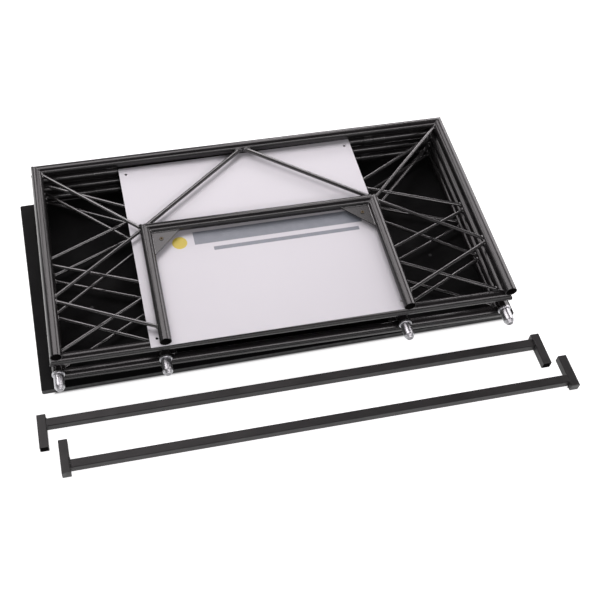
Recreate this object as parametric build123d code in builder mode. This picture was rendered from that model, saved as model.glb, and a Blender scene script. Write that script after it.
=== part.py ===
"""Folding truss-style event table, knocked down and stacked flat for storage.

From the floor up: the tabletop board, the floor frame, the lower front frame, the top frame with
the sign panel on it, and the upper front frame. Two loose support bars lie on the floor in front.
Each front frame is hinged to the flat frame below it by two straps round that frame's back bar.

Millimetres, +Z up, X along the long side, -Y towards the open leg ends. The origin is on the
floor, under the middle of the stacked frames.
"""
from build123d import *
from math import cos, radians, sin
import os

os.makedirs("parts", exist_ok=True)

# ---- driving dimensions -------------------------------------------------------------------------
FRAME_WIDTH = 1000.0          # over the outer legs
FRAME_DEPTH = 530.0           # back bar to leg ends
TUBE_OD = 25.4
TUBE_WALL = 1.5
ROD_OD = 8.0                  # lacing rods
CENTRE_ROD_OD = 10.0          # the pair of rods over the window

WINDOW_LEG_X = 262.0          # centre of a window leg, from the middle of the frame
WINDOW_BAR_SETBACK = 228.0    # back edge of the frame to the window bar's centre
RAIL_OD = 22.2                # a flat frame's inner rails are one size smaller
RAIL_X = 244.6                # centre of an inner rail

BOARD_SIZE = (1057.0, 522.0)
BOARD_THICKNESS = 12.0
BOARD_CENTRE = (-8.0, -6.5)
BOARD_TURN = 1.1              # degrees; the board lies a little askew under the frames
EDGE_BAND = 1.5
BOARD_CORNER = 4.0
BOARD_SCREW_X = 397.0
BOARD_SCREW_Y = 66.0
SCREW_HEAD_R = 4.0
SCREW_SHANK_R = 2.0
SCREW_HEAD_T = 2.5
SCREW_LENGTH = 9.0

PANEL_SIZE = (562.0, 506.0)
PANEL_THICKNESS = 2.0
PANEL_CORNER = 2.0
PANEL_FLOAT = 0.4             # share of the free gap that is under the panel
PANEL_CENTRE = (-15.0, -8.0)
PANEL_TURN = 0.6              # degrees
PANEL_HOLE_INSET = (15.5, 20.0)
PANEL_HOLE_R = 3.2

GUSSET_LEGS = (64.0, 63.0)    # along the window bar, along the window leg
GUSSET_THICKNESS = 2.5
GUSSET_EMBED = 1.0            # a gusset is made this much too wide, then cut to the tubes' rounds
GUSSET_HOLE_INSET = (18.8, 20.1)
NUT_R = 3.25                  # rivet nut barrel, and the gusset's hole
NUT_THREAD_R = 2.0
NUT_FLANGE_R = 5.0
NUT_FLANGE_T = 1.0
NUT_DEPTH = 8.0

HINGE_GAP = 3.0               # air between a hinged pair of frames
HINGE_CLEARANCE = 0.08        # radial, strap round the bar
STRAP_X = 314.0
STRAP_WIDTH = 22.0
STRAP_WEB = 15.0
COLLAR_X = 341.0
COLLAR_LENGTH = 28.0
COLLAR_WALL = 1.8

PAD_THICKNESS = 3.3           # rubber pads under the flat frames
PAD_SIZE = (15.0, 34.0)
PAD_CORNER = 5.0
PAD_Y = 190.0
PAD_HUG = 2.4                 # how far a pad rises up the round of its tube
STACK_AIR = 0.3

SPIGOT_COLLAR = (13.9, 5.5)   # radius, length
SPIGOT_BARREL = (11.2, 28.5)
SPIGOT_NOSE = (6.4, 7.5)      # radius at the tip, length of the taper
SPIGOT_ROUND = 3.0            # at both ends of the nose
SPIGOT_CHAMFER = 0.8          # on the collar
SPIGOT_SHANK = 30.0           # pressed into the leg
SOCKET_R = 11.5               # the upper front's leg ends, opened out for the spigots
SOCKET_DEPTH = 45.0

BAR_LENGTH = 1103.0           # over both end pieces
BAR_SECTION = 19.0
BAR_WALL = 1.2
BAR_ROUND = 1.6
END_SHORT = 18.0              # bar's centre line to the capped end
END_LONG = 56.0               # bar's centre line to the open end
CAP_PLATE = 2.0
CAP_PLUG = 9.0
BAR_PLACES = (                # centre, degrees turned, side of the open ends
    ("support_bar_1", (5.2, -348.0), 0.8, -1),
    ("support_bar_2", (44.6, -448.0), 0.9, 1),
)

# ---- derived sizes ------------------------------------------------------------------------------
R = TUBE_OD / 2
BORE_R = R - TUBE_WALL
RAIL_R = RAIL_OD / 2
SIDE_X = FRAME_WIDTH / 2 - R
BACK_Y = FRAME_DEPTH / 2 - R
FRONT_Y = -BACK_Y
LEG_END_Y = -FRAME_DEPTH / 2
WINDOW_BAR_Y = FRAME_DEPTH / 2 - WINDOW_BAR_SETBACK
PITCH = TUBE_OD + HINGE_GAP

FLOOR_FRAME_Z = BOARD_THICKNESS + PAD_THICKNESS + R
LOWER_FRONT_Z = FLOOR_FRAME_Z + PITCH
TOP_FRAME_Z = LOWER_FRONT_Z + TUBE_OD + PAD_THICKNESS + STACK_AIR
UPPER_FRONT_Z = TOP_FRAME_Z + PITCH

# sideways slack of each frame in the stack
FLOOR_FRAME_DX = -0.5
LOWER_FRONT_DX = -2.5
TOP_FRAME_DX = -3.0
UPPER_FRONT_DX = 0.0
# the upper hinged pair lies this far to the back, and the lower pair as far to the front
PAIR_SHIFT = 1.5

# where the lacing rods meet the tubes, measured from the frame's back edge
FRONT_LACING = {"corner": 27.0, "inner_up": 219.0, "inner_down": 231.0,
                "outer_up": 377.0, "outer_down": 391.0, "inner_end": 489.0}
FLAT_LACING = {"corner": 31.0, "n1_up": 149.5, "n1_down": 160.0, "mid_up": 253.0,
               "mid_down": 271.0, "n2_up": 363.0, "n2_down": 373.5, "front": 498.0}
V_APEX_X = 10.5               # the two middle rods, at the back bar
V_FOOT_X = 255.5              # and on the window bar
ROD_EMBED = 12.0              # a rod is made this much too long, then cut to the tube's round


def save(part, name):
    """Shift a finished piece with its hinged pair, label it and write it to its own file."""
    if name.startswith(("top_frame", "upper_front")):
        part = part.moved(Location((0, PAIR_SHIFT, 0)))
    if name.startswith(("floor_frame", "lower_front")):
        part = part.moved(Location((0, -PAIR_SHIFT, 0)))
    part.label = name
    export_step(part, f"parts/{name}.step")


def cut_round(lines, radius=R):
    """Cut the round of each tube in lines out of the open part."""
    for start, end in lines:
        run = Vector(*end) - Vector(*start)
        with BuildSketch(Plane(origin=start, z_dir=run)) as disc:
            Circle(radius)
        extrude(disc.sketch, amount=run.length, mode=Mode.SUBTRACT)


def mitres(half_width, y, z, dx, end=1):
    """Planes of the left and right mitred corners. Each normal points to the leg's side."""
    return [Plane(origin=(side * half_width + dx, y, z), z_dir=(side, -end, 0)) for side in (-1, 1)]


def tube(name, start, end, bar_cuts=(), leg_cuts=(), copes=(), radius=R, socket=False):
    """Round tube from start to end, with mitred or coped ends or a socket in its far end."""
    run = Vector(*end) - Vector(*start)
    with BuildPart() as piece:
        with BuildSketch(Plane(origin=start, z_dir=run)):
            Circle(radius)
            Circle(radius - TUBE_WALL, mode=Mode.SUBTRACT)
        extrude(amount=run.length)
        if socket:
            with BuildSketch(Plane(origin=end, z_dir=-run)):
                Circle(SOCKET_R)
            extrude(amount=SOCKET_DEPTH, mode=Mode.SUBTRACT)
        for plane in bar_cuts:
            split(bisect_by=plane, keep=Keep.BOTTOM)
        for plane in leg_cuts:
            split(bisect_by=plane, keep=Keep.TOP)
        cut_round(copes)
    save(piece.part, name)


def lacing(name, rods, tubes, rails=(), diameter=ROD_OD):
    """Group of lacing rods, each cut to the round of the tubes and rails it is welded to."""
    with BuildPart() as group:
        for start, end in rods:
            run = (Vector(*end) - Vector(*start)).normalized()
            foot = Vector(*start) - run * ROD_EMBED
            length = (Vector(*end) - foot).length + ROD_EMBED
            with BuildSketch(Plane(origin=foot, z_dir=run)):
                Circle(diameter / 2)
            extrude(amount=length)
        cut_round(tubes)
        cut_round(rails, RAIL_R)
    save(group.part, name)


def back_to_y(setback):
    """Y of a point given by its distance from the frame's back edge."""
    return FRAME_DEPTH / 2 - setback


def zigzag(setbacks, outer_x, inner_x, z):
    """Rods between the outer leg and an inner tube, from pairs of setbacks."""
    rods = []
    for outer, inner in setbacks:
        rods.append(((outer_x, back_to_y(outer), z), (inner_x, back_to_y(inner), z)))
    return rods


def frame_outline(prefix, z, dx, closed, sockets=False):
    """Back bar, outer legs and, on a closed frame, the front bar, mitred at the corners."""
    back = (-SIDE_X - R + dx, BACK_Y, z), (SIDE_X + R + dx, BACK_Y, z)
    corners = mitres(SIDE_X, BACK_Y, z, dx)
    front_corners = mitres(SIDE_X, FRONT_Y, z, dx, end=-1)
    tube(f"{prefix}_back_bar", *back, bar_cuts=corners)
    leg_lines = []
    for index, (side, word) in enumerate(((-1, "left"), (1, "right"))):
        line = (side * SIDE_X + dx, BACK_Y + R, z), (side * SIDE_X + dx, LEG_END_Y, z)
        cuts = [corners[index]] + ([front_corners[index]] if closed else [])
        tube(f"{prefix}_{word}_leg", *line, leg_cuts=cuts, socket=sockets)
        leg_lines.append(line)
    lines = [back] + leg_lines
    if closed:
        front = (-SIDE_X - R + dx, FRONT_Y, z), (SIDE_X + R + dx, FRONT_Y, z)
        tube(f"{prefix}_front_bar", *front, bar_cuts=front_corners)
        lines.append(front)
    return lines


def front_frame(prefix, z, dx, sockets):
    """Open-legged front frame: outer U, window U, three groups of lacing, corner gussets."""
    back, left_leg, right_leg = frame_outline(prefix, z, dx, closed=False, sockets=sockets)
    window_bar = ((-WINDOW_LEG_X - R + dx, WINDOW_BAR_Y, z),
                  (WINDOW_LEG_X + R + dx, WINDOW_BAR_Y, z))
    corners = mitres(WINDOW_LEG_X, WINDOW_BAR_Y, z, dx)
    tube(f"{prefix}_window_bar", *window_bar, bar_cuts=corners)

    window_legs = []
    for index, (side, word) in enumerate(((-1, "left"), (1, "right"))):
        x = side * WINDOW_LEG_X + dx
        line = (x, WINDOW_BAR_Y + R, z), (x, LEG_END_Y, z)
        tube(f"{prefix}_{word}_window_leg", *line, leg_cuts=[corners[index]], socket=sockets)
        window_legs.append(line)

    lace = FRONT_LACING
    pairs = ((lace["corner"], lace["inner_up"]), (lace["outer_up"], lace["inner_down"]),
             (lace["outer_down"], lace["inner_end"]))
    for side, word, leg in ((-1, "left", left_leg), (1, "right", right_leg)):
        rods = zigzag(pairs, side * (SIDE_X - R) + dx, side * (WINDOW_LEG_X + R) + dx, z)
        inner = window_legs[0] if side < 0 else window_legs[1]
        lacing(f"{prefix}_{word}_lacing", rods, [back, leg, inner, window_bar])

    rods = [((side * V_APEX_X + dx, BACK_Y - R, z), (side * V_FOOT_X + dx, WINDOW_BAR_Y + R, z))
            for side in (-1, 1)]
    lacing(f"{prefix}_centre_lacing", rods, [back, window_bar], diameter=CENTRE_ROD_OD)
    gussets(prefix, z, dx, [window_bar] + window_legs)


def gusset_holes(dx):
    """Centres of the two gusset holes."""
    y = WINDOW_BAR_Y - R - GUSSET_HOLE_INSET[1]
    return [(side * (WINDOW_LEG_X - R - GUSSET_HOLE_INSET[0]) + dx, y) for side in (-1, 1)]


def gussets(prefix, z, dx, tubes):
    """Triangular plates in the window's back corners, and their rivet nuts."""
    with BuildPart() as plates:
        with BuildSketch(Plane.XY.offset(z - GUSSET_THICKNESS / 2)):
            for side in (-1, 1):
                corner = (side * (WINDOW_LEG_X - R + GUSSET_EMBED) + dx, WINDOW_BAR_Y - R + GUSSET_EMBED)
                along_bar = (corner[0] - side * (GUSSET_LEGS[0] + GUSSET_EMBED), corner[1])
                along_leg = (corner[0], corner[1] - GUSSET_LEGS[1] - GUSSET_EMBED)
                with BuildLine():
                    Polyline(corner, along_bar, along_leg, close=True)
                make_face()
            with Locations(*gusset_holes(dx)):
                Circle(NUT_R, mode=Mode.SUBTRACT)
        extrude(amount=GUSSET_THICKNESS)
        cut_round(tubes)
    save(plates.part, f"{prefix}_gussets")

    top = z + GUSSET_THICKNESS / 2
    with BuildPart() as nuts:
        with BuildSketch(Plane.XY.offset(top)):
            with Locations(*gusset_holes(dx)):
                Circle(NUT_FLANGE_R)
                Circle(NUT_THREAD_R, mode=Mode.SUBTRACT)
        extrude(amount=NUT_FLANGE_T)
        with BuildSketch(Plane.XY.offset(top)):
            with Locations(*gusset_holes(dx)):
                Circle(NUT_R)
                Circle(NUT_THREAD_R, mode=Mode.SUBTRACT)
        extrude(amount=-NUT_DEPTH)
    save(nuts.part, f"{prefix}_rivet_nuts")


def flat_frame(prefix, z, dx):
    """Closed frame: mitred outline, two inner rails, zigzag lacing, rubber pads."""
    back, left_leg, right_leg, front = frame_outline(prefix, z, dx, closed=True)
    rails = []
    for side, word in ((-1, "left"), (1, "right")):
        line = (side * RAIL_X + dx, BACK_Y, z), (side * RAIL_X + dx, FRONT_Y, z)
        tube(f"{prefix}_{word}_rail", *line, copes=[back, front], radius=RAIL_R)
        rails.append(line)

    lace = FLAT_LACING
    pairs = ((lace["corner"], lace["n1_up"]), (lace["mid_up"], lace["n1_down"]),
             (lace["mid_down"], lace["n2_up"]), (lace["front"], lace["n2_down"]))
    for side, word, leg, rail in ((-1, "left", left_leg, rails[0]), (1, "right", right_leg, rails[1])):
        rods = zigzag(pairs, side * (SIDE_X - R) + dx, side * (RAIL_X + RAIL_R) + dx, z)
        lacing(f"{prefix}_{word}_lacing", rods, [back, leg, front], [rail])

    with BuildPart() as pads:
        with BuildSketch(Plane.XY.offset(z - R - PAD_THICKNESS)):
            for side in (-1, 1):
                with Locations((side * SIDE_X + dx, PAD_Y), (side * SIDE_X + dx, -PAD_Y)):
                    RectangleRounded(*PAD_SIZE, radius=PAD_CORNER)
        extrude(amount=PAD_THICKNESS + PAD_HUG)
        cut_round([left_leg, right_leg])
    save(pads.part, f"{prefix}_pads")


def hinge(upper_prefix, upper_z, lower_prefix, lower_z):
    """Straps from the upper frame's back bar round the lower one's, and collars beside them."""
    with BuildPart() as straps:
        for side in (-1, 1):
            with BuildSketch(Plane.YZ.offset(side * STRAP_X - STRAP_WIDTH / 2)):
                with Locations((BACK_Y, lower_z)):
                    Circle(PITCH - R)
                with Locations((BACK_Y, (lower_z + upper_z) / 2)):
                    Rectangle(STRAP_WEB, PITCH)
                with Locations((BACK_Y, lower_z)):
                    Circle(R + HINGE_CLEARANCE, mode=Mode.SUBTRACT)
                with Locations((BACK_Y, upper_z)):
                    Circle(R, mode=Mode.SUBTRACT)
            extrude(amount=STRAP_WIDTH)
    save(straps.part, f"{upper_prefix}_hinge_straps")

    with BuildPart() as collars:
        for side in (-1, 1):
            with BuildSketch(Plane.YZ.offset(side * COLLAR_X - COLLAR_LENGTH / 2)):
                with Locations((BACK_Y, lower_z)):
                    Circle(R + COLLAR_WALL)
                    Circle(R, mode=Mode.SUBTRACT)
            extrude(amount=COLLAR_LENGTH)
    save(collars.part, f"{lower_prefix}_hinge_collars")


def spigots(prefix, z, dx):
    """Turned spigots pressed into the four leg ends of the lower front frame."""
    collar_r, collar_len = SPIGOT_COLLAR
    barrel_r, barrel_len = SPIGOT_BARREL
    nose_r, nose_len = SPIGOT_NOSE
    with BuildPart() as group:
        for x in (-SIDE_X, -WINDOW_LEG_X, WINDOW_LEG_X, SIDE_X):
            centre = (x + dx, LEG_END_Y, z)
            barrel_end = collar_len + barrel_len
            tip = barrel_end + nose_len
            with BuildSketch(Plane(origin=centre, x_dir=(1, 0, 0), z_dir=(0, 0, -1))):
                with BuildLine():
                    Polyline((0, -SPIGOT_SHANK), (BORE_R, -SPIGOT_SHANK), (BORE_R, 0), (collar_r, 0),
                             (collar_r, collar_len), (barrel_r, collar_len), (barrel_r, barrel_end),
                             (nose_r, tip), (0, tip), close=True)
                make_face()
            revolve(axis=Axis(centre, (0, -1, 0)))
        rims = group.edges().filter_by(GeomType.CIRCLE).filter_by(
            lambda edge: edge.center().Y < LEG_END_Y - barrel_len)
        fillet(rims, radius=SPIGOT_ROUND)
        collars = group.edges().filter_by(GeomType.CIRCLE).filter_by(
            lambda edge: abs(edge.radius - collar_r) < 0.01)
        chamfer(collars, length=SPIGOT_CHAMFER)
    save(group.part, f"{prefix}_spigots")


# ---- tabletop board -----------------------------------------------------------------------------
board_plane = Plane(origin=(*BOARD_CENTRE, 0),
                    x_dir=(cos(radians(BOARD_TURN)), sin(radians(BOARD_TURN)), 0), z_dir=(0, 0, 1))
inner_size = [side - 2 * EDGE_BAND for side in BOARD_SIZE]
screw_places = [(x, y) for x in (-BOARD_SCREW_X, BOARD_SCREW_X) for y in (-BOARD_SCREW_Y, BOARD_SCREW_Y)]

with BuildPart() as tabletop_board:
    with BuildSketch(board_plane):
        RectangleRounded(*inner_size, radius=BOARD_CORNER - EDGE_BAND)
    extrude(amount=BOARD_THICKNESS)
    with Locations(board_plane.offset(BOARD_THICKNESS)):
        with Locations(*screw_places):
            CounterBoreHole(SCREW_SHANK_R, SCREW_HEAD_R, SCREW_HEAD_T, depth=SCREW_LENGTH)
save(tabletop_board.part, "tabletop_board")

with BuildPart() as tabletop_edge_band:
    with BuildSketch(board_plane):
        RectangleRounded(*BOARD_SIZE, radius=BOARD_CORNER)
        RectangleRounded(*inner_size, radius=BOARD_CORNER - EDGE_BAND, mode=Mode.SUBTRACT)
    extrude(amount=BOARD_THICKNESS)
save(tabletop_edge_band.part, "tabletop_edge_band")

with BuildPart() as tabletop_screws:
    with BuildSketch(board_plane.offset(BOARD_THICKNESS)):
        with Locations(*screw_places):
            Circle(SCREW_HEAD_R)
    extrude(amount=-SCREW_HEAD_T)
    with BuildSketch(board_plane.offset(BOARD_THICKNESS - SCREW_LENGTH)):
        with Locations(*screw_places):
            Circle(SCREW_SHANK_R)
    extrude(amount=SCREW_LENGTH - SCREW_HEAD_T)
save(tabletop_screws.part, "tabletop_screws")

# ---- the four frames ----------------------------------------------------------------------------
flat_frame("floor_frame", FLOOR_FRAME_Z, FLOOR_FRAME_DX)
front_frame("lower_front", LOWER_FRONT_Z, LOWER_FRONT_DX, sockets=False)
spigots("lower_front", LOWER_FRONT_Z, LOWER_FRONT_DX)
hinge("lower_front", LOWER_FRONT_Z, "floor_frame", FLOOR_FRAME_Z)
flat_frame("top_frame", TOP_FRAME_Z, TOP_FRAME_DX)
front_frame("upper_front", UPPER_FRONT_Z, UPPER_FRONT_DX, sockets=True)
hinge("upper_front", UPPER_FRONT_Z, "top_frame", TOP_FRAME_Z)

# ---- sign panel ---------------------------------------------------------------------------------
panel_z = TOP_FRAME_Z + R + (HINGE_GAP - PANEL_THICKNESS) * PANEL_FLOAT
panel_plane = Plane(origin=(*PANEL_CENTRE, panel_z),
                    x_dir=(cos(radians(PANEL_TURN)), sin(radians(PANEL_TURN)), 0), z_dir=(0, 0, 1))
with BuildPart() as sign_panel:
    with BuildSketch(panel_plane):
        RectangleRounded(*PANEL_SIZE, radius=PANEL_CORNER)
        with GridLocations(PANEL_SIZE[0] - 2 * PANEL_HOLE_INSET[0],
                           PANEL_SIZE[1] - 2 * PANEL_HOLE_INSET[1], 2, 2):
            Circle(PANEL_HOLE_R, mode=Mode.SUBTRACT)
    extrude(amount=PANEL_THICKNESS)
save(sign_panel.part, "sign_panel")


# ---- support bars -------------------------------------------------------------------------------
def square_section(size, wall=None, rounding=BAR_ROUND):
    """Outline of a square tube, or of a solid plug when no wall is given."""
    RectangleRounded(size, size, radius=rounding)
    if wall:
        RectangleRounded(size - 2 * wall, size - 2 * wall, radius=rounding - wall, mode=Mode.SUBTRACT)


for bar_name, (centre_x, centre_y), turn, open_side in BAR_PLACES:
    along = Vector(cos(radians(turn)), sin(radians(turn)), 0)
    across = Vector(-along.Y, along.X, 0) * open_side
    middle = Vector(centre_x, centre_y, BAR_SECTION / 2)
    end_offset = BAR_LENGTH / 2 - BAR_SECTION / 2

    with BuildPart() as bar_tube:
        start = middle - along * (end_offset - BAR_SECTION / 2)
        with BuildSketch(Plane(origin=start, x_dir=(0, 0, 1), z_dir=along)):
            square_section(BAR_SECTION, BAR_WALL)
        extrude(amount=BAR_LENGTH - 2 * BAR_SECTION)
    save(bar_tube.part, f"{bar_name}_tube")

    with BuildPart() as bar_ends:
        for side in (-1, 1):
            foot = middle + along * (side * end_offset) - across * END_SHORT
            with BuildSketch(Plane(origin=foot, x_dir=(0, 0, 1), z_dir=across)):
                square_section(BAR_SECTION, BAR_WALL)
            extrude(amount=END_SHORT + END_LONG)
    save(bar_ends.part, f"{bar_name}_end_pieces")

    with BuildPart() as bar_caps:
        for side in (-1, 1):
            foot = middle + along * (side * end_offset) - across * END_SHORT
            with BuildSketch(Plane(origin=foot, x_dir=(0, 0, 1), z_dir=across)):
                square_section(BAR_SECTION)
            extrude(amount=-CAP_PLATE)
            with BuildSketch(Plane(origin=foot, x_dir=(0, 0, 1), z_dir=across)):
                square_section(BAR_SECTION - 2 * BAR_WALL, rounding=BAR_ROUND - BAR_WALL)
            extrude(amount=CAP_PLUG)
    save(bar_caps.part, f"{bar_name}_end_caps")
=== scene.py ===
"""Looks for a knocked-down truss event table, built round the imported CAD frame.

Metres, +Z up. The CAD nodes stay as they are and get node-based finishes. The pieces added here are
weld beads and plain printed marks on the sign panel.
"""

from math import cos, pi, radians, sin, sqrt

import bmesh
import bpy
from mathutils import Matrix, Vector, noise


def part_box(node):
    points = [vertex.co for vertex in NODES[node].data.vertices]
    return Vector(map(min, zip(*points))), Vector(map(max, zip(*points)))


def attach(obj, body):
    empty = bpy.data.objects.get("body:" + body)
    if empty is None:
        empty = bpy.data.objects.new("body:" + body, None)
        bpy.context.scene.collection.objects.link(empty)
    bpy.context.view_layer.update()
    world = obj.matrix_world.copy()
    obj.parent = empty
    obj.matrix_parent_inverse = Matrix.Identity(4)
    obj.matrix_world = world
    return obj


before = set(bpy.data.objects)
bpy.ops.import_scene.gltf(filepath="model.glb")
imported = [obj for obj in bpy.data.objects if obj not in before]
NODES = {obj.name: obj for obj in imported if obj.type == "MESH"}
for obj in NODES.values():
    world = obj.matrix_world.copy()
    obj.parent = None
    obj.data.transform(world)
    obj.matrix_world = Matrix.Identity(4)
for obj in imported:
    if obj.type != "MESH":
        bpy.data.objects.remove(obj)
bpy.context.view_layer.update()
MM = 0.001


# ---- node material helpers ------------------------------------------------------------------------
FINE_GRAIN = 1500.0
NUT_THREAD = 380.0
NUT_BORE = 3.0 * MM
NUT_PAINT = 4.2 * MM
# Painted light: the board's two ends, beyond the frames, grow paler between these two distances from
# its middle.
LIT_ENDS_START = 0.485
LIT_ENDS_FULL = 0.515
PANEL_TONE = (0.592, 0.583, 0.616)


class Finish:
    """A Principled material and short calls to add the nodes that vary it."""

    def __init__(self, name, colour, roughness, **sockets):
        self.material = bpy.data.materials.new(name)
        self.material.use_nodes = True
        self.tree = self.material.node_tree
        self.shader = self.tree.nodes["Principled BSDF"]
        self.shader.inputs["Base Color"].default_value = (*colour, 1)
        self.shader.inputs["Roughness"].default_value = roughness
        for socket, value in sockets.items():
            self.shader.inputs[socket.replace("_", " ")].default_value = value
        self.coords = self.tree.nodes.new("ShaderNodeTexCoord").outputs["Object"]
        self.normal = None

    def link(self, source, target):
        self.tree.links.new(source, target)

    def scaled(self, scale):
        """Object coordinates stretched by scale."""
        node = self.tree.nodes.new("ShaderNodeMapping")
        node.inputs["Scale"].default_value = scale
        self.link(self.coords, node.inputs["Vector"])
        return node.outputs["Vector"]

    def noise(self, scale, detail=2.0, roughness=0.5, stretch=None):
        node = self.tree.nodes.new("ShaderNodeTexNoise")
        node.inputs["Scale"].default_value = scale
        node.inputs["Detail"].default_value = detail
        node.inputs["Roughness"].default_value = roughness
        self.link(self.scaled(stretch) if stretch else self.coords, node.inputs["Vector"])
        return node.outputs["Fac"]

    def voronoi(self, scale):
        node = self.tree.nodes.new("ShaderNodeTexVoronoi")
        node.inputs["Scale"].default_value = scale
        self.link(self.coords, node.inputs["Vector"])
        return node.outputs["Distance"]

    def rings(self, axis, scale, distortion=0.4):
        """Bands across one axis, as a lathe tool leaves them."""
        node = self.tree.nodes.new("ShaderNodeTexWave")
        node.bands_direction = axis
        node.inputs["Scale"].default_value = scale
        node.inputs["Distortion"].default_value = distortion
        node.inputs["Detail"].default_value = 2.0
        self.link(self.coords, node.inputs["Vector"])
        return node.outputs["Fac"]

    def remap(self, source, low, high, out_low, out_high):
        node = self.tree.nodes.new("ShaderNodeMapRange")
        limits = {"From Min": low, "From Max": high, "To Min": out_low, "To Max": out_high}
        for socket, value in limits.items():
            node.inputs[socket].default_value = value
        self.link(source, node.inputs["Value"])
        return node.outputs["Result"]

    def maths(self, operation, first, second=0.0):
        node = self.tree.nodes.new("ShaderNodeMath")
        node.operation = operation
        for socket, value in zip(node.inputs, (first, second)):
            if isinstance(value, float):
                socket.default_value = value
            else:
                self.link(value, socket)
        return node.outputs["Value"]

    def vary_roughness(self, source, low, high):
        self.link(self.remap(source, 0.3, 0.7, low, high), self.shader.inputs["Roughness"])

    def tint(self, source, colour, low, high, most=1.0):
        """Mix another colour into the base where source runs from low to high."""
        mix = self.tree.nodes.new("ShaderNodeMix")
        mix.data_type = "RGBA"
        mix.clamp_factor = True
        base = self.shader.inputs["Base Color"]
        if base.is_linked:
            self.link(base.links[0].from_socket, mix.inputs["A"])
        else:
            mix.inputs["A"].default_value = base.default_value
        mix.inputs["B"].default_value = (*colour, 1)
        self.link(self.remap(source, low, high, 0.0, most), mix.inputs["Factor"])
        self.link(mix.outputs["Result"], base)

    def bump(self, source, strength, distance):
        node = self.tree.nodes.new("ShaderNodeBump")
        node.inputs["Strength"].default_value = strength
        node.inputs["Distance"].default_value = distance
        self.link(source, node.inputs["Height"])
        if self.normal:
            self.link(self.normal, node.inputs["Normal"])
        self.normal = node.outputs["Normal"]
        self.link(self.normal, self.shader.inputs["Normal"])


def powder_coat(name, colour, light, gloss, peel=0.035, ior=1.5):
    """Powder coat on steel: orange peel, a little cloudiness, handling marks."""
    finish = Finish(name, colour, gloss[0], IOR=ior)
    finish.tint(finish.noise(14.0, 3.0), light, 0.35, 0.75)
    scuffs = finish.noise(160.0, 4.0, 0.65, stretch=(1.0, 0.25, 1.0))
    finish.tint(scuffs, (0.06, 0.058, 0.056), 0.72, 0.84, 0.4)
    finish.vary_roughness(finish.noise(22.0, 3.0), *gloss)
    finish.bump(finish.noise(420.0, 2.0), peel, 0.0004)
    finish.bump(finish.noise(FINE_GRAIN, 1.0), peel / 2, 0.0002)
    return finish.material


def machined(name, colour, axis, spacing, roughness):
    """Turned metal with tool rings across an axis."""
    finish = Finish(name, colour, roughness, Metallic=1.0)
    rings = finish.rings(axis, spacing)
    finish.tint(rings, [c * 0.82 for c in colour], 0.2, 0.9, 0.6)
    streaks = finish.noise(260.0, 3.0, stretch=(1.0, 4.0, 1.0))
    finish.vary_roughness(streaks, roughness * 0.7, roughness * 1.5)
    finish.bump(rings, 0.05, 0.0002)
    return finish.material


def moulded(name, colour, roughness, grain):
    """Moulded plastic or rubber with a fine grain."""
    finish = Finish(name, colour, roughness)
    finish.tint(finish.noise(30.0, 3.0), [c * 1.7 for c in colour], 0.4, 0.8)
    cloud = finish.noise(90.0, 2.0)
    finish.vary_roughness(cloud, roughness * 0.85, min(1.0, roughness * 1.15))
    finish.bump(finish.noise(grain, 2.0), 0.2, 0.0003)
    return finish.material


def printed(name, colour):
    """Flat printing ink, a little uneven."""
    finish = Finish(name, colour, 0.45)
    finish.tint(finish.noise(60.0, 3.0), [c * 1.12 for c in colour], 0.4, 0.8)
    finish.vary_roughness(finish.noise(90.0, 2.0), 0.4, 0.5)
    finish.bump(finish.noise(FINE_GRAIN, 1.0), 0.03, 0.0002)
    return finish.material


def rivet_nut(name):
    """Brass nut whose flange is painted over, so only the bore stays bright."""
    finish = Finish(name, (0.10, 0.078, 0.05), 0.4, Metallic=1.0)
    low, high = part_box("upper_front_rivet_nuts")
    flange = (high.y - low.y) / 2
    spacing = (high.x - low.x) / 2 - flange
    split = finish.tree.nodes.new("ShaderNodeSeparateXYZ")
    finish.link(finish.coords, split.inputs["Vector"])
    across = finish.maths("SUBTRACT", split.outputs["X"], (low.x + high.x) / 2)
    from_bore = finish.maths("SUBTRACT", finish.maths("ABSOLUTE", across), spacing)
    along = finish.maths("SUBTRACT", split.outputs["Y"], (low.y + high.y) / 2)
    squares = [finish.maths("MULTIPLY", value, value) for value in (from_bore, along)]
    radius = finish.maths("SQRT", finish.maths("ADD", *squares))
    finish.tint(finish.rings("Z", NUT_THREAD), (0.085, 0.065, 0.04), 0.2, 0.9, 0.7)
    finish.tint(radius, (0.012, 0.0115, 0.0115), NUT_BORE, NUT_PAINT)
    paint = finish.remap(radius, NUT_BORE, NUT_PAINT, 1.0, 0.0)
    finish.link(paint, finish.shader.inputs["Metallic"])
    finish.bump(finish.rings("Z", NUT_THREAD), 0.3, 0.0003)
    return finish.material


def sheet_panel():
    """Semi-gloss white sheet, faintly uneven, with a few rubbed streaks."""
    finish = Finish("panel_white", PANEL_TONE, 0.4)
    finish.tint(finish.noise(2.2, 3.0), [c * 1.02 for c in PANEL_TONE], 0.3, 0.7)
    streaks = finish.noise(24.0, 5.0, 0.7, stretch=(1.0, 0.12, 1.0))
    finish.tint(streaks, [c * 0.9 for c in PANEL_TONE], 0.66, 0.80, 0.25)
    finish.vary_roughness(finish.noise(11.0, 4.0, stretch=(1.0, 0.4, 1.0)), 0.38, 0.46)
    finish.bump(finish.noise(900.0, 1.0), 0.03, 0.0002)
    return finish.material


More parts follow.
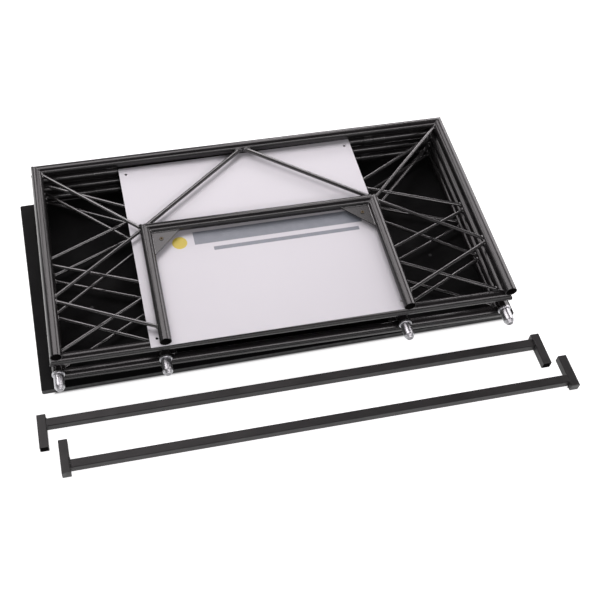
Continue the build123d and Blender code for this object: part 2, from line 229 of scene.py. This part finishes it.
def laminate():
    """Black fine-textured board facing with lint and rubbed marks, darker under the frames and paler
    at its two ends beyond them: painted shade and painted light.
    """
    finish = Finish("board_black", (0.0028, 0.0028, 0.0030), 0.8, Specular_IOR_Level=0.10)
    finish.tint(finish.noise(6.0, 4.0, 0.6), (0.005, 0.005, 0.0052), 0.35, 0.7)
    split = finish.tree.nodes.new("ShaderNodeSeparateXYZ")
    finish.link(finish.coords, split.inputs["Vector"])
    # Painted light and shade: the ends beyond the frames are paler than the board under them.
    margin = finish.maths("ABSOLUTE", split.outputs["X"])
    finish.tint(margin, (0.0125, 0.0125, 0.0128), LIT_ENDS_START, LIT_ENDS_FULL)
    finish.tint(finish.voronoi(700.0), (0.022, 0.022, 0.023), 0.25, 0.05, 0.5)
    finish.tint(finish.noise(85.0, 6.0, 0.75), (0.06, 0.06, 0.06), 0.70, 0.82, 0.3)
    finish.vary_roughness(finish.noise(22.0, 4.0), 0.74, 0.9)
    finish.bump(finish.voronoi(900.0), 0.35, 0.0003)
    finish.bump(finish.noise(2200.0, 1.0), 0.25, 0.0001)
    return finish.material


FRAME_BLACK = powder_coat("frame_black", (0.0080, 0.0073, 0.0076), (0.012, 0.0110, 0.0114),
                          gloss=(0.20, 0.25))
# Painted light: the rods' coat is a lighter copy of the frame coat, so the thin rods read brighter.
ROD_BLACK = powder_coat("rod_black", (0.016, 0.015, 0.0155), (0.024, 0.0225, 0.023),
                        gloss=(0.19, 0.25), ior=2.0)
# Painted glint: the welds' coat is a lighter copy of the frame coat, and glossier, so the beads glint.
WELD_BLACK = powder_coat("weld_black", (0.012, 0.0115, 0.0117), (0.020, 0.019, 0.019),
                         gloss=(0.12, 0.20), peel=0.06, ior=2.0)
BAR_BLACK = powder_coat("bar_black", (0.013, 0.0123, 0.0126), (0.019, 0.018, 0.0184),
                        gloss=(0.34, 0.44), ior=1.31)
ALUMINIUM = machined("spigot_aluminium", (0.50, 0.50, 0.52), "Y", 420.0, 0.33)
BRASS = rivet_nut("nut_brass")
SCREW_STEEL = machined("screw_steel", (0.035, 0.035, 0.036), "X", 500.0, 0.45)
RUBBER = moulded("pad_rubber", (0.012, 0.012, 0.012), 0.78, 1300.0)
CAP_BLACK = moulded("cap_black", (0.012, 0.012, 0.012), 0.50, 1600.0)
EDGE_BLACK = moulded("edge_black", (0.007, 0.007, 0.0073), 0.6, 1100.0)
PANEL_WHITE = sheet_panel()
BOARD_BLACK = laminate()
PRINT_GREY = printed("print_grey", (0.20, 0.215, 0.245))
PRINT_YELLOW = printed("print_yellow", (0.56, 0.44, 0.045))

FINISH_BY_NAME = {"tabletop_board": BOARD_BLACK, "tabletop_edge_band": EDGE_BLACK,
                  "tabletop_screws": SCREW_STEEL, "sign_panel": PANEL_WHITE}
FINISH_BY_ENDING = {"_spigots": ALUMINIUM, "_rivet_nuts": BRASS, "_pads": RUBBER,
                    "_end_caps": CAP_BLACK, "_lacing": ROD_BLACK}


def finish_of(name):
    """Material of a CAD node, from its name."""
    if name in FINISH_BY_NAME:
        return FINISH_BY_NAME[name]
    for ending, material in FINISH_BY_ENDING.items():
        if name.endswith(ending):
            return material
    return BAR_BLACK if name.startswith("support_bar") else FRAME_BLACK


for name, node in NODES.items():
    for slot in node.material_slots:
        slot.material = finish_of(name)


# ---- mesh helpers ---------------------------------------------------------------------------------
BEAD_SIDES = 8
NEARLY_UPRIGHT = 0.2
RIPPLE_BASE, RIPPLE_SCALLOP, RIPPLE_UNEVEN = 0.86, 0.24, 0.22


def circle(count):
    """Cosine and sine of evenly spread angles."""
    angles = [2 * pi * step / count for step in range(count)]
    return [(cos(angle), sin(angle)) for angle in angles]


def add_piece(name, mesh_builder, body, material):
    """Make a mesh object from a bmesh and let it ride on a body."""
    mesh = bpy.data.meshes.new(name)
    bmesh.ops.recalc_face_normals(mesh_builder, faces=mesh_builder.faces)
    mesh_builder.to_mesh(mesh)
    mesh_builder.free()
    mesh.materials.append(material)
    piece = bpy.data.objects.new(name, mesh)
    bpy.context.scene.collection.objects.link(piece)
    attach(piece, body)
    return piece


def smooth(piece):
    for face in piece.data.polygons:
        face.use_smooth = True


def sweep_bead(builder, path, radii, closed):
    """Round bead along a path, with one radius for each point."""
    count = len(path)
    loops = []
    for index, point in enumerate(path):
        before = path[index - 1] if closed or index else path[0]
        after = path[(index + 1) % count] if closed or index < count - 1 else path[-1]
        along = (after - before).normalized()
        aside = along.cross(Vector((0, 0, 1)))
        if aside.length < NEARLY_UPRIGHT:
            aside = along.cross(Vector((1, 0, 0)))
        aside.normalize()
        up = aside.cross(along)
        loops.append([builder.verts.new(point + (aside * c + up * s) * radii[index])
                      for c, s in circle(BEAD_SIDES)])
    for index in range(count if closed else count - 1):
        here, there = loops[index], loops[(index + 1) % count]
        twist = min(range(BEAD_SIDES), key=lambda k: (here[0].co - there[k].co).length)
        for step in range(BEAD_SIDES):
            following = (step + 1) % BEAD_SIDES
            opposite = there[(step + twist) % BEAD_SIDES]
            beyond = there[(following + twist) % BEAD_SIDES]
            builder.faces.new((here[step], here[following], beyond, opposite))
    if not closed:
        builder.faces.new(loops[0])
        builder.faces.new(list(reversed(loops[-1])))


def ripple(index, count, waves, seed):
    """Weld ripple, about 1, with overlapping scallops and some unevenness."""
    turn = index / count
    scallop = abs(sin(pi * waves * turn))
    uneven = noise.noise(Vector((seed * 3.7, turn * 5.0, seed * 0.31)))
    return RIPPLE_BASE + RIPPLE_SCALLOP * scallop + RIPPLE_UNEVEN * uneven


# ---- weld beads -----------------------------------------------------------------------------------
ROD_BEAD = 2.3 * MM
RAIL_BEAD = 2.1 * MM
GUSSET_BEAD = 1.5 * MM
STRAP_BEAD = 1.4 * MM
COLLAR_BEAD = 1.2 * MM
BAR_BEAD = 1.5 * MM
MITRE_BEAD, MITRE_HEEL, MITRE_SHARPNESS = 0.75, 1.9, 6   # millimetres, millimetres, power
ROD_STEPS, ROD_WAVES = 36, 7
MITRE_STEPS, MITRE_WAVES = 48, 17
COLLAR_STEPS, COLLAR_WAVES = 40, 15
STITCH = 1.2 * MM
STITCH_TAPER = 0.6
END_REACH = 20 * MM
SAME_POINT = 1e-6
PARALLEL = 1e-9
GUSSET_SEEDS = (20, 30)
STRAP_SEED = 40
BAR_SEEDS = range(60, 80)
STRAP_WEB_HALF = 7.5 * MM
STRAP_WIDTH = 22 * MM
COLLAR_WALL = 0.8 * MM
# Half outline of a support bar's end in half-widths, open underneath where the bar lies on the floor.
BAR_OUTLINE = ((-1, -0.8), (-1, -0.3), (-1, 0.3), (-1, 0.86), (-0.86, 1), (-0.3, 1),
               (0.3, 1), (0.86, 1), (1, 0.86), (1, 0.3), (1, -0.3), (1, -0.8))


class Tube:
    """Axis, direction and radius of a straight CAD tube that lies along X or Y."""

    def __init__(self, name):
        low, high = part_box(name)
        size = high - low
        self.centre = (low + high) / 2
        self.along = Vector((1, 0, 0)) if size.x > size.y else Vector((0, 1, 0))
        self.radius = size.z / 2
        self.reach = max(size.x, size.y) / 2

    def hit(self, point, direction):
        """Distance along a ray to the tube's surface, or None."""
        gap = point - self.centre
        gap -= self.along * gap.dot(self.along)
        run = direction - self.along * direction.dot(self.along)
        a = run.dot(run)
        b = gap.dot(run)
        c = gap.dot(gap) - self.radius ** 2
        root = b * b - a * c
        if a < PARALLEL or root < 0:
            return None
        distance = (-b - sqrt(root)) / a
        place = (point + direction * distance - self.centre).dot(self.along)
        return distance if distance > 0 and abs(place) < self.reach else None


def islands(mesh):
    """Corner positions of each separate solid in a mesh, taken from a set and so in no fixed order."""
    builder = bmesh.new()
    builder.from_mesh(mesh)
    bmesh.ops.remove_doubles(builder, verts=builder.verts, dist=SAME_POINT)
    left = set(builder.verts)
    groups = []
    while left:
        stack = [left.pop()]
        group = list(stack)
        while stack:
            for edge in stack.pop().link_edges:
                for vert in edge.verts:
                    if vert in left:
                        left.remove(vert)
                        stack.append(vert)
                        group.append(vert)
        groups.append([vert.co.copy() for vert in group])
    builder.free()
    return groups


def rod_axis(corners):
    """Middle and direction of a long thin solid, from its corners.

    It is right for solids thinner than END_REACH. On a thicker one, an end's far corners are missed
    and the axis comes out skewed.
    """
    middle = sum(corners, Vector()) / len(corners)
    far = max(corners, key=lambda p: (p - middle).length)
    one_end = [p for p in corners if (p - far).length < END_REACH]
    other = max(corners, key=lambda p: (p - far).length)
    other_end = [p for p in corners if (p - other).length < END_REACH]
    start = sum(one_end, Vector()) / len(one_end)
    end = sum(other_end, Vector()) / len(other_end)
    return (start + end) / 2, (end - start).normalized()


def weld_round(builder, middle, direction, rod_radius, tubes, bead, seed):
    """Ring of weld where a round rod runs into the nearest tube."""
    hits = [(tube.hit(middle, direction), tube) for tube in tubes]
    hits = [(distance, tube) for distance, tube in hits if distance]
    if not hits:
        return
    tube = min(hits, key=lambda item: item[0])[1]
    side = Vector((0, 0, 1))
    across = direction.cross(side).normalized()
    path, radii = [], []
    for step, (c, s) in enumerate(circle(ROD_STEPS)):
        start = middle + (across * c + side * s) * rod_radius
        distance = tube.hit(start, direction)
        if distance is None:
            return
        path.append(start + direction * distance)
        radii.append(bead * ripple(step, ROD_STEPS, ROD_WAVES, seed))
    sweep_bead(builder, path, radii, closed=True)


def weld_mitre(builder, centre, side, end, radius, seed):
    """Bead round a mitred corner, heavier at the inner corner."""
    path, radii = [], []
    for step, (c, s) in enumerate(circle(MITRE_STEPS)):
        inward = c * radius
        path.append(centre + Vector((-side * inward, -end * inward, s * radius)))
        bead = (MITRE_BEAD + MITRE_HEEL * max(0.0, c) ** MITRE_SHARPNESS) * MM
        radii.append(bead * ripple(step, MITRE_STEPS, MITRE_WAVES, seed))
    sweep_bead(builder, path, radii, closed=True)


def weld_line(builder, start, end, bead, seed):
    """Straight stitch of weld."""
    count = max(6, int((end - start).length / STITCH))
    path = [start.lerp(end, step / (count - 1)) for step in range(count)]
    radii = [bead * ripple(step, count, count / 3, seed) for step in range(count)]
    radii[0] *= STITCH_TAPER
    radii[-1] *= STITCH_TAPER
    sweep_bead(builder, path, radii, closed=False)


def frame_welds(prefix, rods, legs, bars, rails=()):
    """All the beads of one frame, as one piece."""
    builder = bmesh.new()
    seed = len(prefix) + 0.5
    tubes = [Tube(f"{prefix}_{word}") for word in legs + bars + rails]
    bar_tubes = [Tube(f"{prefix}_{bar}") for bar in bars]
    for group in rods:
        low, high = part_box(f"{prefix}_{group}")
        rod_radius = (high.z - low.z) / 2
        for corners in islands(NODES[f"{prefix}_{group}"].data):
            middle, direction = rod_axis(corners)
            for way in (direction, -direction):
                seed += 1
                weld_round(builder, middle, way, rod_radius, tubes, ROD_BEAD, seed)
    for word in rails:
        rail = Tube(f"{prefix}_{word}")
        for way in (rail.along, -rail.along):
            seed += 1
            weld_round(builder, rail.centre, way, rail.radius, bar_tubes, RAIL_BEAD, seed)
    for bar_name, bar in zip(bars, bar_tubes):
        end = -1 if bar_name == "front_bar" else 1
        for side in (-1, 1):
            seed += 1
            corner = bar.centre + Vector((side * (bar.reach - bar.radius), 0, 0))
            weld_mitre(builder, corner, side, end, bar.radius, seed)
    smooth(add_piece(f"{prefix}_welds", builder, prefix, WELD_BLACK))


def gusset_welds(prefix):
    """Fillets on both faces of each gusset, along the window bar and the window leg."""
    builder = bmesh.new()
    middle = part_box(f"{prefix}_gussets")[0].lerp(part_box(f"{prefix}_gussets")[1], 0.5)
    for seed, corners in enumerate(islands(NODES[f"{prefix}_gussets"].data)):
        xs = [p.x for p in corners]
        ys = [p.y for p in corners]
        zs = [p.z for p in corners]
        left = sum(xs) / len(xs) < middle.x
        outer, inner = (min(xs), max(xs)) if left else (max(xs), min(xs))
        for z in (min(zs), max(zs)):
            corner = Vector((outer, max(ys), z))
            ends = (Vector((inner, max(ys), z)), Vector((outer, min(ys), z)))
            for end, first_seed in zip(ends, GUSSET_SEEDS):
                weld_line(builder, corner, end, GUSSET_BEAD, seed + first_seed)
    smooth(add_piece(f"{prefix}_gusset_welds", builder, prefix, WELD_BLACK))


def hinge_welds(upper, lower):
    """Fillets between the straps and their own bar, and a ring at each collar's outer end."""
    own = Tube(f"{upper}_back_bar")
    low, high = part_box(f"{upper}_hinge_straps")
    builder = bmesh.new()
    drop = sqrt(own.radius ** 2 - STRAP_WEB_HALF ** 2)
    for side, edge in ((-1, low.x), (1, high.x)):
        for way in (-1, 1):
            start = Vector((edge, own.centre.y + way * STRAP_WEB_HALF, own.centre.z - drop))
            end = start - Vector((side * STRAP_WIDTH, 0, 0))
            weld_line(builder, start, end, STRAP_BEAD, side * way + STRAP_SEED)
    smooth(add_piece(f"{upper}_hinge_welds", builder, upper, WELD_BLACK))

    bar = Tube(f"{lower}_back_bar")
    low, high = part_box(f"{lower}_hinge_collars")
    builder = bmesh.new()
    reach = bar.radius + COLLAR_WALL
    for x in (low.x, high.x):
        path = [Vector((x, bar.centre.y + reach * c, bar.centre.z + reach * s))
                for c, s in circle(COLLAR_STEPS)]
        radii = [COLLAR_BEAD * ripple(step, COLLAR_STEPS, COLLAR_WAVES, x)
                 for step in range(COLLAR_STEPS)]
        sweep_bead(builder, path, radii, closed=True)
    smooth(add_piece(f"{lower}_collar_welds", builder, lower, WELD_BLACK))


def bar_welds(prefix):
    """Fillets where a support bar's tube meets its two end pieces, with none meant underneath.

    The square tube is thicker across its corners than END_REACH, so rod_axis skews the axis: the
    fillets sit about 2.8 mm off the tube, and one end's reach just below the floor.
    """
    tube_low, tube_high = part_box(f"{prefix}_tube")
    half = (tube_high.z - tube_low.z) / 2
    corners = islands(NODES[f"{prefix}_tube"].data)[0]
    middle, along = rod_axis(corners)
    across = Vector((-along.y, along.x, 0))
    reach = max((p - middle).dot(along) for p in corners)
    builder = bmesh.new()
    for way in (-1, 1):
        path = [middle + along * (way * reach) + across * (u * half) + Vector((0, 0, v * half))
                for u, v in BAR_OUTLINE]
        for start, end, seed in zip(path, path[1:], BAR_SEEDS):
            weld_line(builder, start, end, BAR_BEAD, seed)
    smooth(add_piece(f"{prefix}_welds", builder, prefix, BAR_BLACK))


# ---- printed marks on the panel -------------------------------------------------------------------
PANEL_TURN = radians(0.6)
PRINT_BARS = ((-143, 243, -3, 33), (-103, 231, -25, -15))   # left, right, front, back in millimetres
PRINT_DISC = (-176, 8, 17)                                  # centre and radius in millimetres
DISC_STEPS = 48
PRINT_SUNK = 0.05 * MM
PRINT_PROUD = 0.08 * MM


def plate(builder, points, bottom, top):
    """Thin straight-sided solid over an outline."""
    base = [builder.verts.new((x, y, bottom)) for x, y in points]
    lid = [builder.verts.new((x, y, top)) for x, y in points]
    builder.faces.new(list(reversed(base)))
    builder.faces.new(lid)
    for index in range(len(points)):
        following = (index + 1) % len(points)
        builder.faces.new((base[index], base[following], lid[following], lid[index]))


def printed_marks():
    """Plain bars and a disc printed on the panel, turned with it."""
    low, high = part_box("sign_panel")
    centre = (low + high) / 2
    turn = Matrix.Rotation(PANEL_TURN, 2)
    marks = {"sign_print_bars": (PRINT_GREY, []), "sign_print_disc": (PRINT_YELLOW, [])}
    for x0, x1, y0, y1 in PRINT_BARS:
        marks["sign_print_bars"][1].append([(x0, y0), (x1, y0), (x1, y1), (x0, y1)])
    disc_x, disc_y, disc_r = PRINT_DISC
    disc = [(disc_x + disc_r * c, disc_y + disc_r * s) for c, s in circle(DISC_STEPS)]
    marks["sign_print_disc"][1].append(disc)
    for name, (material, outlines) in marks.items():
        builder = bmesh.new()
        for outline in outlines:
            points = [centre.xy + turn @ Vector(point) * MM for point in outline]
            plate(builder, points, high.z - PRINT_SUNK, high.z + PRINT_PROUD)
        add_piece(name, builder, "sign_panel", material)


# ---- all the added pieces -------------------------------------------------------------------------
for prefix in ("floor_frame", "top_frame"):
    frame_welds(prefix, ("left_lacing", "right_lacing"), ("left_leg", "right_leg"),
                ("back_bar", "front_bar"), ("left_rail", "right_rail"))
for prefix in ("lower_front", "upper_front"):
    frame_welds(prefix, ("left_lacing", "right_lacing", "centre_lacing"),
                ("left_leg", "right_leg", "left_window_leg", "right_window_leg"),
                ("back_bar", "window_bar"))
    gusset_welds(prefix)
hinge_welds("lower_front", "floor_frame")
hinge_welds("upper_front", "top_frame")
for prefix in ("support_bar_1", "support_bar_2"):
    bar_welds(prefix)
printed_marks()

# ---- floor ----------------------------------------------------------------------------------------
FLOOR_HALF = 6.0
FLOOR_CELLS = 8
FLOOR_DROP = 0.0005   # keeps the floor out of the plane that the parts lie on
# The floor glows white outside the stack's outline, the glow fading in over a few millimetres at its
# edge;
# under the stack it has no glow and is tinted dark, painted shade. The outline's front edge follows
# the board, which lies turned by BOARD_SLOPE.
OUTLINE_HALF_LENGTH = 0.50
OUTLINE_HALF_DEPTH = 0.266
BOARD_SLOPE = 0.0192
PAINTED_SHADE_BEYOND, PAINTED_SHADE_FULL = 0.012, 0.002
GLOW_START, GLOW_FULL, GLOW_STRENGTH = 0.001, 0.007, 0.88


def floor_material():
    """White studio floor with its glow masked by the stack's outline, and painted shade under the
    stack.
    """
    finish = Finish("studio_floor", (0.56, 0.56, 0.56), 0.95, Emission_Color=(1, 1, 1, 1))
    finish.tint(finish.noise(1.5, 2.0), (0.58, 0.58, 0.58), 0.3, 0.7)
    place = finish.tree.nodes.new("ShaderNodeSeparateXYZ")
    finish.link(finish.coords, place.inputs["Vector"])
    along, depth = place.outputs["X"], place.outputs["Y"]
    beyond_end = finish.maths("SUBTRACT", finish.maths("ABSOLUTE", along), OUTLINE_HALF_LENGTH)
    beyond_back = finish.maths("SUBTRACT", depth, OUTLINE_HALF_DEPTH)
    from_board = finish.maths("SUBTRACT", finish.maths("MULTIPLY", along, BOARD_SLOPE), depth)
    beyond_front = finish.maths("SUBTRACT", from_board, OUTLINE_HALF_DEPTH)
    beyond_side = finish.maths("MAXIMUM", beyond_back, beyond_front)
    outside = finish.maths("MAXIMUM", beyond_end, beyond_side)
    # Painted shade: under the stack the floor is tinted dark and has no glow.
    finish.tint(outside, (0.012, 0.012, 0.012), PAINTED_SHADE_BEYOND, PAINTED_SHADE_FULL)
    glow = finish.remap(outside, GLOW_START, GLOW_FULL, 0.0, GLOW_STRENGTH)
    finish.link(glow, finish.shader.inputs["Emission Strength"])
    return finish.material


builder = bmesh.new()
bmesh.ops.create_grid(builder, x_segments=FLOOR_CELLS, y_segments=FLOOR_CELLS, size=FLOOR_HALF)
floor_mesh = bpy.data.meshes.new("floor")
builder.to_mesh(floor_mesh)
builder.free()
floor = bpy.data.objects.new("floor", floor_mesh)
floor.location = (0, 0, -FLOOR_DROP)
bpy.context.scene.collection.objects.link(floor)
floor_mesh.materials.append(floor_material())


# ---- surroundings and lights ----------------------------------------------------------------------
SKY_STOPS = ((0.0, 1.0), (0.12, 0.9), (0.34, 0.06), (1.0, 0.06))   # height, grey
SKY_DIMMING = {"From Min": 0.2, "From Max": 0.8, "To Min": 1.0, "To Max": 0.3}
LIGHT_COLOUR = (1.0, 0.95, 0.97)
SOFTBOXES = (   # name, place, aim, size, power in watts
    ("top_box", (-0.5, 1.3, 2.3), (0, 0, 0), (3.2, 1.4), 59),
    ("front_box", (0.5, -2.6, 2.1), (0, 0, 0), (3.6, 0.9), 50),
    ("right_box", (2.3, 1.3, 1.2), (0.2, 0, 0), (1.5, 1.7), 34),
    ("left_box", (-1.75, 1.9, 1.3), (0.2, 0, 0), (0.9, 0.9), 12),
    ("back_box", (0.9, 2.25, 1.05), (0.3, 0, 0), (1.2, 0.6), 15),
)


def studio_world():
    """Surroundings that are white low down and dark above, dimmer towards the back."""
    world = bpy.data.worlds.new("studio")
    world.use_nodes = True
    tree = world.node_tree
    background = tree.nodes["Background"]
    sky = tree.nodes.new("ShaderNodeTexCoord")
    split = tree.nodes.new("ShaderNodeSeparateXYZ")
    ramp = tree.nodes.new("ShaderNodeValToRGB")
    while len(ramp.color_ramp.elements) < len(SKY_STOPS):
        ramp.color_ramp.elements.new(0.5)
    for element, (height, grey) in zip(ramp.color_ramp.elements, SKY_STOPS):
        element.position = height
        element.color = (grey, grey, grey, 1)
    dimmer = tree.nodes.new("ShaderNodeMapRange")
    for socket, value in SKY_DIMMING.items():
        dimmer.inputs[socket].default_value = value
    tree.links.new(sky.outputs["Generated"], split.inputs["Vector"])
    tree.links.new(split.outputs["Z"], ramp.inputs["Fac"])
    tree.links.new(split.outputs["Y"], dimmer.inputs["Value"])
    tree.links.new(ramp.outputs["Color"], background.inputs["Color"])
    tree.links.new(dimmer.outputs["Result"], background.inputs["Strength"])
    return world


def softbox(name, place, aim, size, power):
    """Rectangular area light at place, pointing at aim."""
    light = bpy.data.lights.new(name, "AREA")
    light.shape = "RECTANGLE"
    light.size, light.size_y = size
    light.energy = power
    light.color = LIGHT_COLOUR
    lamp = bpy.data.objects.new(name, light)
    lamp.location = place
    lamp.rotation_euler = (Vector(aim) - Vector(place)).to_track_quat("-Z", "Y").to_euler()
    bpy.context.scene.collection.objects.link(lamp)


bpy.context.scene.world = studio_world()
for box in SOFTBOXES:
    softbox(*box)


# ---- camera ---------------------------------------------------------------------------------------
CAMERA_PLACE = Vector((-0.3816, -1.3306, 1.7776))
CAMERA_AIM = Vector((0.1125, 0.5587, -0.8217)).normalized()
CAMERA_ROLL = radians(1.347)
SENSOR_WIDTH = 36
FOCAL_LENGTH = 57.64
CAMERA_SHIFT = (0.1467, 0.0152)


def add_camera():
    """Camera at CAMERA_PLACE, rolled a little about its aim and shifted off centre."""
    data = bpy.data.cameras.new("camera")
    data.sensor_width = SENSOR_WIDTH
    data.lens = FOCAL_LENGTH
    data.shift_x, data.shift_y = CAMERA_SHIFT
    level = CAMERA_AIM.cross(Vector((0, 0, 1))).normalized()
    upright = level.cross(CAMERA_AIM)
    right = level * cos(CAMERA_ROLL) + upright * sin(CAMERA_ROLL)
    up = right.cross(CAMERA_AIM)
    turn = Matrix((right, up, -CAMERA_AIM)).transposed().to_4x4()
    camera = bpy.data.objects.new("camera", data)
    camera.matrix_world = Matrix.Translation(CAMERA_PLACE) @ turn
    bpy.context.scene.collection.objects.link(camera)
    return camera


bpy.context.scene.camera = add_camera()
bpy.context.scene.view_settings.view_transform = "Standard"
